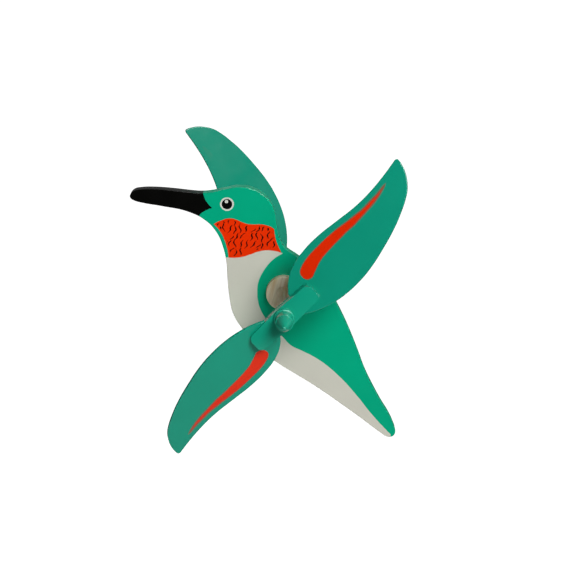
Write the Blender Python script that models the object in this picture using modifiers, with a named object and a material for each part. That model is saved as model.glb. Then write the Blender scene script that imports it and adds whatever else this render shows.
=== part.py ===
"""Hummingbird whirligig.

A bird sawn from one board turns on a post. A steel axle crosses the board, and on each side a turned
spacer holds a two-winged propeller clear of the bird, under a pointed nose cap.

Metres, +Z up. The origin is the centre of the pivot hole's mouth, under the belly. The beak points to -X,
the axle runs along Y, and the near propeller is at -Y.
"""

from math import cos, pi, radians, sin, tan

import bmesh
import bpy
from mathutils import Matrix, Vector

MM = 0.001

# Clearance between pieces that touch, and between the axle and what it passes through.
GAP = 0.3 * MM

# Bird, sawn from one board and sanded round at the edges.
BIRD_LENGTH = 265.0 * MM
BOARD_THICK = 10.0 * MM
BOARD_ROUND = 1.4 * MM

# Pivot in the belly: a brass sleeve on a quarter-inch post, with a steel plug that takes the weight.
SLEEVE_BORE = 6.45 * MM
SLEEVE_WALL = 0.375 * MM
PIVOT_DEPTH = 34.0 * MM
PLUG_THICK = 2.0 * MM
SPOT_FACE_REACH = 6.5 * MM

# Cross axle with a washer, a hex nut and a little spare thread at each end.
AXLE_DIA = 6.35 * MM
AXLE_CHAMFER = 0.6 * MM
AXLE_SPARE = 1.5 * MM
WASHER_THICK = 1.0 * MM
INNER_WASHER_DIA = 14.0 * MM
OUTER_WASHER_DIA = 12.0 * MM
NUT_FLATS = 10.0 * MM
NUT_THICK = 5.0 * MM

# Turned wooden spacer: a foot disc on the board, a small cove and a long straight stem.
SPACER_LENGTH = 74.0 * MM
FOOT_DIA = 34.5 * MM
FOOT_THICK = 4.4 * MM
FOOT_ROUND = 1.6 * MM
STEM_DIA = 16.4 * MM
COVE_RADIUS = 2.0 * MM

# Propeller hub: a flat bar whose arms are planed at the back to the wings' pitch.
WING_PITCH = radians(22.0)
HUB_LENGTH = 77.0 * MM
HUB_WIDTH = 21.0 * MM
ARM_TAPER = 3.0 * MM
ARM_THIN = 2.0 * MM
ARM_CORNER = 6.0 * MM
HUB_ROUND = 0.8 * MM
BUSH_WALL = 1.4 * MM
BUSH_FLANGE_DIA = 14.0 * MM
BUSH_FLANGE_THICK = 1.2 * MM

# Wing blades, cut from sheet.
WING_LENGTH = 175.3 * MM
WING_ROOT = 16.0 * MM
WING_THICK = 3.0 * MM
WING_ROUND = 0.6 * MM
NEAR_REST = radians(42.0)
FAR_REST = radians(111.0)

# Two pan-head screws through each wing root into the hub arm.
SCREW_DIA = 3.0 * MM
SCREW_HEAD_DIA = 6.0 * MM
SCREW_HEAD_THICK = 2.0 * MM
SCREW_MARGIN = 6.0 * MM
SCREW_CHORD = 1.5 * MM
SCREW_COVER = 1.8 * MM
SCREW_POINT = 2.0 * MM

# Nose cap: a thin brim, a straight collar and a pointed dome, hollow over the axle nut.
CAP_LENGTH = 30.0 * MM
CAP_BRIM_DIA = 20.0 * MM
CAP_BRIM_THICK = 3.2 * MM
CAP_BRIM_ROUND = 1.2 * MM
CAP_COLLAR_DIA = 18.2 * MM
CAP_COLLAR_LENGTH = 15.0 * MM
CAP_COLLAR_ROUND = 1.0 * MM
CAP_DOME_DIA = 15.0 * MM
CAP_DOME_SWELL = 0.6 * MM
CAP_TIP_RADIUS = 2.0 * MM
CAP_WELL_DIA = 13.2 * MM
CAP_WELL_SPARE = 1.0 * MM

# Where things come to along the axle, measured out from the middle of the board.
BOARD_FACE = BOARD_THICK / 2
SPACER_FOOT = BOARD_FACE + GAP
SPACER_END = BOARD_FACE + SPACER_LENGTH
INNER_WASHER = SPACER_END + GAP
BUSH_FLANGE = INNER_WASHER + WASHER_THICK + GAP
HUB_BACK = BUSH_FLANGE + BUSH_FLANGE_THICK + GAP
HUB_THICK = ARM_THIN + HUB_WIDTH * tan(WING_PITCH)
HUB_FRONT = HUB_BACK + HUB_THICK
WING_SEAT = HUB_FRONT - ARM_THIN - HUB_WIDTH / 2 * tan(WING_PITCH)
CAP_BASE = HUB_FRONT + GAP
OUTER_WASHER = CAP_BASE
AXLE_NUT = OUTER_WASHER + WASHER_THICK + GAP
AXLE_END = AXLE_NUT + NUT_THICK + AXLE_SPARE
CAP_WELL_DEPTH = AXLE_END - CAP_BASE + CAP_WELL_SPARE
AXLE_HOLE = AXLE_DIA / 2 + GAP
SLEEVE_OUTER = SLEEVE_BORE / 2 + SLEEVE_WALL

# The bird in side view, in millimetres from the axle, beak tip first and along the back to the tail.
BIRD_DRAWN_LENGTH = 265.0
BIRD_OUTLINE = [
    (-149.8, 98), (-148.4, 101), (-145, 103.7), (-139, 105), (-125, 105.3), (-105, 103.7), (-90, 101.9),
    (-80, 101.2), (-70, 102), (-56, 105), (-41, 107), (-30, 104.8), (-20, 99), (-13, 91.5), (-9.2, 83),
    (-7, 71), (-5.7, 61), (-3.2, 52.5), (1, 45), (6.5, 40.5), (13, 36.2), (25.5, 26.3), (37, 14.6), (46, 1),
    (53, -13), (61, -29.4), (68.2, -46), (75.6, -65), (83, -85), (91.5, -103), (100.5, -120), (108, -132.6),
    (113, -143.5), (115.1, -150.4), (113.9, -154.7), (110.4, -157), (106, -156.5), (100, -152.5), (78, -135),
    (56, -118.2), (34, -102), (12, -87.5), (-9, -73.5), (-26.9, -57), (-41.6, -38.8), (-50, -24.5),
    (-54, -6), (-55.7, 14), (-56.5, 30), (-60, 47), (-65.7, 60.6), (-76, 72.5), (-93, 81.6), (-119, 87.4),
    (-138, 90.8), (-145.5, 93), (-148.9, 95.3),
]
PIVOT_DRAWN = (-17.0, -60.5)

# One wing, in millimetres along the blade from the axle and across it. The root corners are sharp.
WING_DRAWN_LENGTH = 175.3
WING_ROOT_DRAWN = 16.0
WING_LEADING = [
    (24, 23), (37, 31), (54, 35.5), (75, 37), (95, 36), (118, 34.9), (138, 36.3), (158, 39.8), (169.5, 42.5),
    (173.2, 43.2), (174.9, 42.4),
]
WING_TRAILING = [
    (175.3, 40.8), (174.9, 36.3), (173, 29), (169.6, 22.2), (164.3, 15.1), (157, 9.2), (147, 3.1),
    (134, -3.5), (112, -12), (90, -18.5), (75, -20.9), (60, -21.6), (45, -20.3), (28, -15.9),
]
WING_ROOT_LEADING = 13.5
WING_ROOT_TRAILING = -10.5

BIRD_SCALE = BIRD_LENGTH / BIRD_DRAWN_LENGTH
AXLE_X = -PIVOT_DRAWN[0] * BIRD_SCALE
AXLE_Z = -PIVOT_DRAWN[1] * BIRD_SCALE
AXLE_CENTRE = Matrix.Translation((AXLE_X, 0, AXLE_Z))

# Facets around turned pieces.
FINE_STEPS = 32
TURNED_STEPS = 24
SCREW_STEPS = 10
ARC_STEPS = 4


for leftover in list(bpy.data.objects):
    bpy.data.objects.remove(leftover, do_unlink=True)

whirligig = bpy.data.collections.new("whirligig")
cutters = bpy.data.collections.new("whirligig_cutters")
bpy.context.scene.collection.children.link(whirligig)
bpy.context.scene.collection.children.link(cutters)


def finish(name, colour, roughness, metallic=0.0):
    """A plain surface for one kind of piece."""
    material = bpy.data.materials.new(name)
    material.use_nodes = True
    shader = material.node_tree.nodes["Principled BSDF"]
    shader.inputs["Base Color"].default_value = (*colour, 1.0)
    shader.inputs["Roughness"].default_value = roughness
    shader.inputs["Metallic"].default_value = metallic
    return material


BIRD_ENAMEL = finish("bird_enamel", (0.0, 0.36, 0.19), 0.3)
WING_ENAMEL = finish("wing_enamel", (0.01, 0.28, 0.18), 0.25)
HUB_ENAMEL = finish("hub_enamel", (0.01, 0.29, 0.19), 0.3)
CAP_ENAMEL = finish("cap_enamel", (0.01, 0.33, 0.23), 0.3)
BARE_WOOD = finish("bare_wood", (0.58, 0.42, 0.25), 0.45)
STEEL = finish("zinc_plated_steel", (0.55, 0.56, 0.57), 0.35, 1.0)
BRASS = finish("brass_tube", (0.72, 0.53, 0.22), 0.3, 1.0)
NYLON = finish("nylon_bush", (0.78, 0.76, 0.7), 0.5)


def add_piece(name, mesh, material, parent, location=(0, 0, 0), rotation=(0, 0, 0)):
    """Put a mesh in the whirligig as a named sub-part, placed in its parent's frame."""
    piece = bpy.data.objects.new(name, mesh)
    piece.data.materials.clear()
    piece.data.materials.append(material)
    whirligig.objects.link(piece)
    piece.parent = parent
    piece.location = location
    piece.rotation_euler = rotation
    return piece


def add_cutter(name, mesh, parent, location=(0, 0, 0), rotation=(0, 0, 0)):
    """Put a mesh among the cutters, placed in its parent's frame."""
    cutter = bpy.data.objects.new(name, mesh)
    cutters.objects.link(cutter)
    cutter.hide_render = True
    cutter.display_type = "WIRE"
    cutter.parent = parent
    cutter.location = location
    cutter.rotation_euler = rotation
    return cutter


def add_frame(name, parent=None, matrix=Matrix()):
    """An empty that carries other pieces."""
    frame = bpy.data.objects.new(name, None)
    whirligig.objects.link(frame)
    frame.parent = parent
    frame.matrix_local = matrix
    return frame


def cut(piece, cutter):
    """Take a cutter out of a piece."""
    boolean = piece.modifiers.new(cutter.name, "BOOLEAN")
    boolean.operation = "DIFFERENCE"
    boolean.solver = "EXACT"
    boolean.object = cutter


def box_mesh(name, size):
    mesh = bpy.data.meshes.new(name)
    form = bmesh.new()
    bmesh.ops.create_cube(form, size=1.0, matrix=Matrix.Diagonal((*size, 1.0)))
    form.to_mesh(mesh)
    form.free()
    return mesh


def rod_mesh(name, radius, length, sides):
    """A straight rod along Z, centred on its middle."""
    mesh = bpy.data.meshes.new(name)
    form = bmesh.new()
    bmesh.ops.create_cone(
        form, cap_ends=True, segments=sides, radius1=radius, radius2=radius, depth=length)
    form.to_mesh(mesh)
    form.free()
    mesh.shade_smooth()
    mesh.set_sharp_from_angle(angle=radians(40))
    return mesh


def arc(centre, radius, start, end, steps=ARC_STEPS):
    """Points along an arc, angles in degrees."""
    angles = [radians(start + (end - start) * step / steps) for step in range(steps + 1)]
    return [(centre[0] + radius * cos(angle), centre[1] + radius * sin(angle)) for angle in angles]


def bow(start, control, end, steps=ARC_STEPS):
    """Points along a curve that leaves its start towards a control point and reaches its end from there."""
    shares = [step / steps for step in range(steps + 1)]
    return [
        tuple(
            (1 - share) ** 2 * start[axis] + 2 * share * (1 - share) * control[axis] + share ** 2 * end[axis]
            for axis in (0, 1))
        for share in shares]


def turned(name, profile, material, parent, location=(0, 0, 0), steps=TURNED_STEPS, ring=True):
    """A piece turned about Z from a profile of (radius, height), down its outer side.

    A ring's profile closes on itself. Any other profile starts and ends on the axis.
    """
    mesh = bpy.data.meshes.new(name)
    form = bmesh.new()
    corners = [form.verts.new((radius, 0.0, height)) for radius, height in profile]
    for upper, lower in zip(corners, corners[1:]):
        form.edges.new((upper, lower))
    if ring:
        form.edges.new((corners[-1], corners[0]))
    form.to_mesh(mesh)
    form.free()
    piece = add_piece(name, mesh, material, parent, location)
    screw = piece.modifiers.new("turn", "SCREW")
    screw.axis = "Z"
    screw.steps = steps
    screw.render_steps = steps
    screw.use_merge_vertices = True
    screw.merge_threshold = 0.00001
    screw.use_smooth_shade = False
    return piece


def ring_profile(outer, inner, bottom, top):
    return [(outer, top), (outer, bottom), (inner, bottom), (inner, top)]


def sheet_mesh(name, spline_points, thick, edge_round, detail, round_steps):
    """A flat outline in XY, as thick along Z as given, with its edges rounded over.

    Each point is (x, y) on a smooth stretch, or (x, y, True) at a sharp corner.
    """
    curve = bpy.data.curves.new(name, "CURVE")
    curve.dimensions = "2D"
    curve.fill_mode = "BOTH"
    curve.extrude = thick / 2 - edge_round
    curve.bevel_depth = edge_round
    curve.bevel_resolution = round_steps
    curve.offset = -edge_round
    spline = curve.splines.new("BEZIER")
    spline.bezier_points.add(len(spline_points) - 1)
    spline.use_cyclic_u = True
    spline.resolution_u = detail
    for knot, point in zip(spline.bezier_points, spline_points):
        knot.co = (point[0], point[1], 0.0)
        handle = "VECTOR" if len(point) == 3 else "AUTO"
        knot.handle_left_type = handle
        knot.handle_right_type = handle
    drawn = bpy.data.objects.new(name, curve)
    bpy.context.scene.collection.objects.link(drawn)
    bpy.context.view_layer.update()
    mesh = bpy.data.meshes.new_from_object(drawn.evaluated_get(bpy.context.evaluated_depsgraph_get()))
    bpy.data.objects.remove(drawn)
    bpy.data.curves.remove(curve)
    form = bmesh.new()
    form.from_mesh(mesh)
    bmesh.ops.remove_doubles(form, verts=form.verts, dist=0.00001)
    bmesh.ops.recalc_face_normals(form, faces=form.faces)
    form.to_mesh(mesh)
    form.free()
    mesh.name = name
    mesh.shade_smooth()
    mesh.set_sharp_from_angle(angle=radians(35))
    return mesh


def make_bird():
    """The bird board, with the axle hole, and the pivot in its belly."""
    frame = add_frame("bird_frame", matrix=AXLE_CENTRE @ Matrix.Rotation(pi / 2, 4, "X"))
    outline = [(x * BIRD_SCALE, y * BIRD_SCALE) for x, y in BIRD_OUTLINE]
    mesh = sheet_mesh("body_board", outline, BOARD_THICK, BOARD_ROUND, detail=3, round_steps=1)
    board = add_piece("body_board", mesh, BIRD_ENAMEL, frame)

    axle_hole = rod_mesh("axle_hole", AXLE_HOLE, BOARD_THICK * 2, FINE_STEPS)
    cut(board, add_cutter("axle_hole", axle_hole, frame))

    # The belly slopes, so a flat is cut square to the post before the pivot is drilled.
    flat_height = BIRD_LENGTH / 4
    spot_face = box_mesh("spot_face", (SPOT_FACE_REACH * 2, BOARD_THICK * 2, flat_height))
    cut(board, add_cutter("spot_face", spot_face, None, location=(0, 0, -flat_height / 2)))
    pivot_length = PIVOT_DEPTH * 2
    pivot_hole = rod_mesh("pivot_hole", SLEEVE_OUTER + GAP, pivot_length, TURNED_STEPS)
    cut(board, add_cutter("pivot_hole", pivot_hole, None))

    plug_top = PIVOT_DEPTH - GAP
    plug_bottom = plug_top - PLUG_THICK
    sleeve = ring_profile(SLEEVE_OUTER, SLEEVE_BORE / 2, 0.0, plug_bottom - GAP)
    turned("pivot_sleeve", sleeve, BRASS, None)
    plug = [(0, plug_top), (SLEEVE_OUTER, plug_top), (SLEEVE_OUTER, plug_bottom), (0, plug_bottom)]
    turned("pivot_plug", plug, STEEL, None, ring=False)


def make_axle():
    """The steel rod through the board and both propellers."""
    half = AXLE_END
    radius = AXLE_DIA / 2
    profile = [
        (0, half), (radius - AXLE_CHAMFER, half), (radius, half - AXLE_CHAMFER),
        (radius, AXLE_CHAMFER - half), (radius - AXLE_CHAMFER, -half), (0, -half),
    ]
    frame = add_frame("axle_frame", matrix=AXLE_CENTRE @ Matrix.Rotation(pi / 2, 4, "X"))
    turned("axle_rod", profile, STEEL, frame, steps=FINE_STEPS, ring=False)


def make_standing_pieces(side, frame):
    """What stays still on one side: the spacer, the washers and the axle nut."""
    foot = FOOT_DIA / 2
    stem = STEM_DIA / 2
    foot_top = BOARD_FACE + FOOT_THICK
    cove_centre = (stem + COVE_RADIUS, foot_top + COVE_RADIUS)
    profile = [(stem, SPACER_END)]
    profile += arc(cove_centre, COVE_RADIUS, 180, 270)
    profile += arc((foot - FOOT_ROUND, foot_top - FOOT_ROUND), FOOT_ROUND, 90, 0)
    profile += [(foot, SPACER_FOOT), (AXLE_HOLE, SPACER_FOOT), (AXLE_HOLE, SPACER_END)]
    turned("spacer_" + side, profile, BARE_WOOD, frame, steps=FINE_STEPS)

    inner = ring_profile(INNER_WASHER_DIA / 2, AXLE_HOLE, INNER_WASHER, INNER_WASHER + WASHER_THICK)
    turned("inner_washer_" + side, inner, STEEL, frame)
    outer = ring_profile(OUTER_WASHER_DIA / 2, AXLE_HOLE, OUTER_WASHER, OUTER_WASHER + WASHER_THICK)
    turned("outer_washer_" + side, outer, STEEL, frame)

    corner_radius = NUT_FLATS / 2 / cos(pi / 6)
    nut_mesh = rod_mesh("axle_nut_" + side, corner_radius, NUT_THICK, 6)
    nut_middle = (0, 0, AXLE_NUT + NUT_THICK / 2)
    nut = add_piece("axle_nut_" + side, nut_mesh, STEEL, frame, nut_middle)
    thread = rod_mesh("nut_thread_" + side, AXLE_HOLE, NUT_THICK * 2, TURNED_STEPS)
    cut(nut, add_cutter("nut_thread_" + side, thread, frame, nut_middle))


def rounded_corner(before, corner, after, reach):
    """One corner of a straight-sided outline, rounded from as far back along each side as given."""
    start, end = [
        (Vector(corner) + (Vector(neighbour) - Vector(corner)).normalized() * reach)
        for neighbour in (before, after)]
    return bow(start, corner, end)


def hub_outline(hand):
    """The hub bar from the front: each arm narrows along its trailing edge and has rounded corners."""
    half_length = HUB_LENGTH / 2
    half_width = HUB_WIDTH / 2
    tip_trailing = (half_length, -(half_width - ARM_TAPER))
    tip_leading = (half_length, half_width)
    middle_trailing = (0.0, -half_width)
    middle_leading = (0.0, half_width)
    arm = [middle_trailing]
    arm += rounded_corner(middle_trailing, tip_trailing, tip_leading, ARM_CORNER)
    arm += rounded_corner(tip_trailing, tip_leading, middle_leading, ARM_CORNER)
    other_arm = [(-x, -y) for x, y in arm]
    return [(x, y * hand, True) for x, y in arm + other_arm]


def wing_outline(hand):
    """One wing: a leaf with a nearly straight leading edge and a full trailing edge."""
    stretch = (WING_LENGTH - WING_ROOT) / (WING_DRAWN_LENGTH - WING_ROOT_DRAWN)
    outline = [(WING_ROOT, WING_ROOT_LEADING * MM * hand, True)]
    for along, across in WING_LEADING + WING_TRAILING:
        outline.append((WING_ROOT + (along - WING_ROOT_DRAWN) * stretch, across * MM * hand))
    outline.append((WING_ROOT, WING_ROOT_TRAILING * MM * hand, True))
    return outline


def make_wing(label, hub, blade_frame, hand):
    """One wing with its two screws, on the planed back of a hub arm.

    The blade frame has X along the wing and Z out of its front face.
    """
    wing_mesh = sheet_mesh("wing_" + label, wing_outline(hand), WING_THICK, WING_ROUND, 3, 0)
    wing = add_piece("wing_" + label, wing_mesh, WING_ENAMEL, blade_frame, (0, 0, -WING_THICK / 2))

    arm_depth = (ARM_THIN + (HUB_WIDTH / 2 + SCREW_CHORD) * tan(WING_PITCH)) * cos(WING_PITCH)
    bite = arm_depth - SCREW_COVER
    shank = SCREW_DIA / 2
    head = SCREW_HEAD_DIA / 2
    head_top = -WING_THICK - GAP
    head_bottom = head_top - SCREW_HEAD_THICK
    screw_profile = [
        (0, bite), (shank, bite - SCREW_POINT), (shank, head_top), (head, head_top),
        (head, head_bottom + SCREW_HEAD_THICK / 2), (head * 0.7, head_bottom), (0, head_bottom),
    ]
    hole_length = bite + WING_THICK * 2
    stations = (WING_ROOT + SCREW_MARGIN, HUB_LENGTH / 2 - SCREW_MARGIN)
    for number, station in enumerate(stations, start=1):
        place = (station, SCREW_CHORD * hand, 0)
        screw_name = "wing_screw_%s%d" % (label, number)
        turned(screw_name, screw_profile, STEEL, blade_frame, place, SCREW_STEPS, ring=False)
        hole = rod_mesh("hole_" + screw_name, shank + GAP, hole_length, SCREW_STEPS)
        middle = (place[0], place[1], bite + GAP - hole_length / 2)
        cutter = add_cutter("hole_" + screw_name, hole, blade_frame, middle)
        cut(wing, cutter)
        cut(hub, cutter)


def make_propeller(side, frame, hand):
    """Hub, bush, nose cap and two wings, in a frame with Z out along the axle and X along the first wing."""
    hub_mesh = sheet_mesh("hub_" + side, hub_outline(hand), HUB_THICK, HUB_ROUND, 1, 1)
    hub = add_piece("hub_" + side, hub_mesh, HUB_ENAMEL, frame, (0, 0, HUB_BACK + HUB_THICK / 2))
    bush_radius = AXLE_HOLE + BUSH_WALL
    bore = rod_mesh("hub_bore_" + side, bush_radius + GAP, HUB_THICK * 2, FINE_STEPS)
    cut(hub, add_cutter("hub_bore_" + side, bore, frame, (0, 0, HUB_BACK + HUB_THICK / 2)))

    flange = BUSH_FLANGE_DIA / 2
    flange_top = BUSH_FLANGE + BUSH_FLANGE_THICK
    bush_profile = [
        (bush_radius, HUB_FRONT), (bush_radius, flange_top), (flange, flange_top),
        (flange, BUSH_FLANGE), (AXLE_HOLE, BUSH_FLANGE), (AXLE_HOLE, HUB_FRONT),
    ]
    turned("hub_bush_" + side, bush_profile, NYLON, frame, steps=FINE_STEPS)

    # The planed seats stop just short of the wing roots, so the middle of the hub keeps its full depth.
    seat_depth = HUB_THICK * 2
    seat_length = HUB_LENGTH / 2
    seat_size = (seat_length, HUB_WIDTH * 2, seat_depth)
    for number, letter in enumerate("ab"):
        label = side + "_" + letter
        pitch = Matrix.Rotation(-WING_PITCH * hand, 4, "X")
        turn = Matrix.Rotation(pi * number, 4, "Z")
        blade_frame = add_frame(
            "blade_frame_" + label, frame, Matrix.Translation((0, 0, WING_SEAT)) @ turn @ pitch)
        seat = box_mesh("seat_" + label, seat_size)
        seat_middle = (WING_ROOT - GAP + seat_length / 2, 0, GAP - seat_depth / 2)
        cut(hub, add_cutter("seat_" + label, seat, blade_frame, seat_middle))
        make_wing(label, hub, blade_frame, hand)

    brim = CAP_BRIM_DIA / 2
    collar = CAP_COLLAR_DIA / 2
    dome = CAP_DOME_DIA / 2
    well = CAP_WELL_DIA / 2
    brim_top = CAP_BASE + CAP_BRIM_THICK
    collar_top = CAP_BASE + CAP_COLLAR_LENGTH
    tip = CAP_BASE + CAP_LENGTH
    nib = arc((0, tip - CAP_TIP_RADIUS), CAP_TIP_RADIUS, 60, 30, 1)
    middle = ((nib[-1][0] + dome) / 2 + CAP_DOME_SWELL, (nib[-1][1] + collar_top) / 2)
    collar_round = (collar - CAP_COLLAR_ROUND, collar_top - CAP_COLLAR_ROUND)
    brim_round = (brim - CAP_BRIM_ROUND, brim_top - CAP_BRIM_ROUND)
    cap_profile = [(0, tip), nib[0]]
    cap_profile += bow(nib[-1], middle, (dome, collar_top))
    cap_profile += arc(collar_round, CAP_COLLAR_ROUND, 90, 0, 2)
    cap_profile.append((collar, brim_top))
    cap_profile += arc(brim_round, CAP_BRIM_ROUND, 90, 0, 2)
    cap_profile += [
        (brim, CAP_BASE), (well, CAP_BASE), (well, CAP_BASE + CAP_WELL_DEPTH),
        (0, CAP_BASE + CAP_WELL_DEPTH),
    ]
    turned("nose_cap_" + side, cap_profile, CAP_ENAMEL, frame, ring=False)


def make_side(side, outward, rest_angle):
    """Everything on one side. Outward is 1 at -Y and -1 at +Y, where the propeller is the mirror image."""
    facing = AXLE_CENTRE @ Matrix.Rotation(outward * pi / 2, 4, "X")
    still_frame = add_frame("axle_end_" + side, matrix=facing)
    spin = Matrix.Rotation(outward * rest_angle, 4, "Z")
    spin_frame = add_frame("propeller_" + side, matrix=facing @ spin)
    make_standing_pieces(side, still_frame)
    make_propeller(side, spin_frame, outward)


make_bird()
make_axle()
make_side("near", 1, NEAR_REST)
make_side("far", -1, FAR_REST)
bpy.context.view_layer.update()
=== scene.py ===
"""The finish of a painted hummingbird whirligig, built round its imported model. Metres, +Z up."""

from math import cos, pi, radians, sin

import bpy
from mathutils import Matrix, Vector


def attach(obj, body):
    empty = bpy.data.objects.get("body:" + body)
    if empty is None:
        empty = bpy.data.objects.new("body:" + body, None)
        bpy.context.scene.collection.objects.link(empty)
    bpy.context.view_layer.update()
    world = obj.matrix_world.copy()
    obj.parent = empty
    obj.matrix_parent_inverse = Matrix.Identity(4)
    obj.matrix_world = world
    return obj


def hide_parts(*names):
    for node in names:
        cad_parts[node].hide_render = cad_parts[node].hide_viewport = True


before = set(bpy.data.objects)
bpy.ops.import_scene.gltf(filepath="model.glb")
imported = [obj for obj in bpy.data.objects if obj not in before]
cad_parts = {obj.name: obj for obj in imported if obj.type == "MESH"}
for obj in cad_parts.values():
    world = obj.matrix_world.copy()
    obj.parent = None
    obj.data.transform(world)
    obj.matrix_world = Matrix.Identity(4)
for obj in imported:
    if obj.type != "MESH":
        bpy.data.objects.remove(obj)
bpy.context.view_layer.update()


# Bird: a hummingbird in side view, fret-sawn from one half-inch board, with its edges just softened.
# The axle passes through it, the post goes up into a hole in its belly, and it is painted by brush
# in gloss enamel on both faces and over the edges. Sizes are in millimetres, measured from the axle.

MM = 0.001
AXLE_PLACE = Vector((17.0, 0.0, 60.5)) * MM
AXLE_HOLE_RADIUS = 3.475
BOARD_THICK = 12.7
BOARD_EDGE_ROUND = 0.6
EDGE_BORDER = 0.3
PIVOT_HOLE_RADIUS = 3.7
PIVOT_DEPTH = 34.0
SPOT_FACE_REACH = 6.5
SPOT_FACE_DROP = 60.0
BIRD_OUTLINE = [
    (-149.6, 97.6), (-148.2, 100.4), (-145, 102.9), (-139, 104.1), (-125, 104.4), (-105, 102.8), (-90, 101),
    (-80, 100.3), (-70, 101.1), (-56, 104.1), (-41, 106.1), (-30, 104), (-20, 98.4), (-13, 91.2), (-9.2, 83),
    (-7, 71), (-5.7, 61), (-3.2, 52.5), (1, 45), (6.5, 40.5), (13, 36.2), (25.5, 26.3), (37, 14.6), (46, 1),
    (53, -13), (61, -29.4), (68.2, -46), (75.6, -65), (83, -85), (91.5, -103), (100.5, -120), (108, -132.6),
    (113, -143.5), (115.1, -150.4), (113.9, -154.7), (110.4, -157), (106, -156.5), (100, -152.5), (78, -135),
    (56, -118.2), (34, -102), (12, -87.5), (-9, -73.5), (-26.9, -57), (-41.6, -38.8), (-50, -24.5),
    (-54, -6), (-55.7, 14), (-56.5, 30), (-60, 47), (-65.7, 60.6), (-76, 72.5), (-93, 81.6), (-119, 87.4),
    (-138, 90.8), (-145.5, 93), (-148.9, 95.3),
]


def saw_sheet(name, outline, thick, edge_round):
    """A sheet sawn to a smooth outline, with its edges sanded round, lying in XY about z = 0.

    Each point is (x, y) in mm, or (x, y, True) at a sharp corner.
    """
    bpy.ops.object.select_all(action="DESELECT")
    bpy.ops.curve.primitive_bezier_circle_add()
    sheet = bpy.context.object
    sheet.name = name
    drawn = sheet.data
    drawn.dimensions = "2D"
    drawn.fill_mode = "BOTH"
    drawn.extrude = (thick / 2 - edge_round) * MM
    drawn.bevel_depth = edge_round * MM
    drawn.bevel_resolution = 4
    drawn.offset = -edge_round * MM
    line = drawn.splines[0]
    line.resolution_u = 8
    line.bezier_points.add(len(outline) - len(line.bezier_points))
    for knot, point in zip(line.bezier_points, outline):
        knot.co = (point[0] * MM, point[1] * MM, 0.0)
        knot.handle_left_type = knot.handle_right_type = "VECTOR" if len(point) == 3 else "AUTO"
    bpy.ops.object.convert(target="MESH")

    bpy.ops.object.mode_set(mode="EDIT")
    bpy.ops.mesh.select_all(action="SELECT")
    bpy.ops.mesh.remove_doubles(threshold=0.01 * MM)
    bpy.ops.mesh.normals_make_consistent(inside=False)
    select_faces(sheet, lambda face: abs(face.normal.z) > 0.9999)
    bpy.ops.mesh.dissolve_faces()
    # A narrow border keeps the rounded edge's shading off the flat faces and off the flat of the edge.
    select_faces(sheet, lambda face: abs(face.normal.z) > 0.9999 or abs(face.normal.z) < 0.001)
    bpy.ops.mesh.inset(thickness=EDGE_BORDER * MM)
    bpy.ops.object.mode_set(mode="OBJECT")
    return sheet


def select_faces(piece, wanted):
    """In edit mode, select just the faces that pass a test."""
    bpy.ops.mesh.select_mode(type="FACE")
    bpy.ops.mesh.select_all(action="DESELECT")
    bpy.ops.object.mode_set(mode="OBJECT")
    for face in piece.data.polygons:
        face.select = wanted(face)
    bpy.ops.object.mode_set(mode="EDIT")


def set_in_place(piece, place):
    """Move a piece to where it fits and put that place into its mesh."""
    bpy.ops.object.select_all(action="DESELECT")
    piece.select_set(True)
    bpy.context.view_layer.objects.active = piece
    piece.matrix_world = place
    bpy.ops.object.transform_apply(location=True, rotation=True, scale=True)


def cut_away(piece, cutter):
    """Take a cutter's shape out of a piece, and throw the cutter away."""
    saw = piece.modifiers.new("cut", "BOOLEAN")
    saw.operation = "DIFFERENCE"
    saw.solver = "EXACT"
    saw.object = cutter
    bpy.ops.object.select_all(action="DESELECT")
    piece.select_set(True)
    bpy.context.view_layer.objects.active = piece
    bpy.ops.object.modifier_apply(modifier=saw.name)
    bpy.data.objects.remove(cutter)


def drill(piece, place, radius, depth):
    """Bore a round hole along a place's Z axis, half its depth to each side."""
    bpy.ops.object.select_all(action="DESELECT")
    bpy.ops.mesh.primitive_cylinder_add(vertices=64, radius=radius * MM, depth=depth * MM)
    bpy.context.object.matrix_world = place
    cut_away(piece, bpy.context.object)


def smooth(piece, angle=40):
    """Shade a piece smooth, apart from edges sharper than an angle in degrees."""
    bpy.ops.object.select_all(action="DESELECT")
    piece.select_set(True)
    bpy.context.view_layer.objects.active = piece
    bpy.ops.object.shade_smooth_by_angle(angle=radians(angle))


NEAR_FACE = Matrix.Translation(AXLE_PLACE) @ Matrix.Rotation(pi / 2, 4, "X")
bird = saw_sheet("bird_board", BIRD_OUTLINE, BOARD_THICK, BOARD_EDGE_ROUND)
set_in_place(bird, NEAR_FACE)
drill(bird, NEAR_FACE, AXLE_HOLE_RADIUS, BOARD_THICK * 2)
# The belly slopes, so a flat is cut across it, square to the post, round the pivot hole.
bpy.ops.object.select_all(action="DESELECT")
bpy.ops.mesh.primitive_cube_add(
    size=MM, location=(0.0, 0.0, -SPOT_FACE_DROP / 2 * MM),
    scale=(SPOT_FACE_REACH * 2, BOARD_THICK * 2, SPOT_FACE_DROP))
cut_away(bird, bpy.context.object)
drill(bird, Matrix(), PIVOT_HOLE_RADIUS, PIVOT_DEPTH * 2)
smooth(bird)


def linear(code):
    """An sRGB hex colour, as the linear red, green, blue and alpha that a shader takes."""
    shares = [int(code[start:start + 2], 16) / 255 for start in (0, 2, 4)]
    light = [share / 12.92 if share <= 0.04045 else ((share + 0.055) / 1.055) ** 2.4 for share in shares]
    return light + [1.0]


def new_finish(name):
    """An empty material, for nodes to be added to."""
    finish = bpy.data.materials.new(name)
    finish.use_nodes = True
    finish.node_tree.nodes.clear()
    return finish


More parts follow.
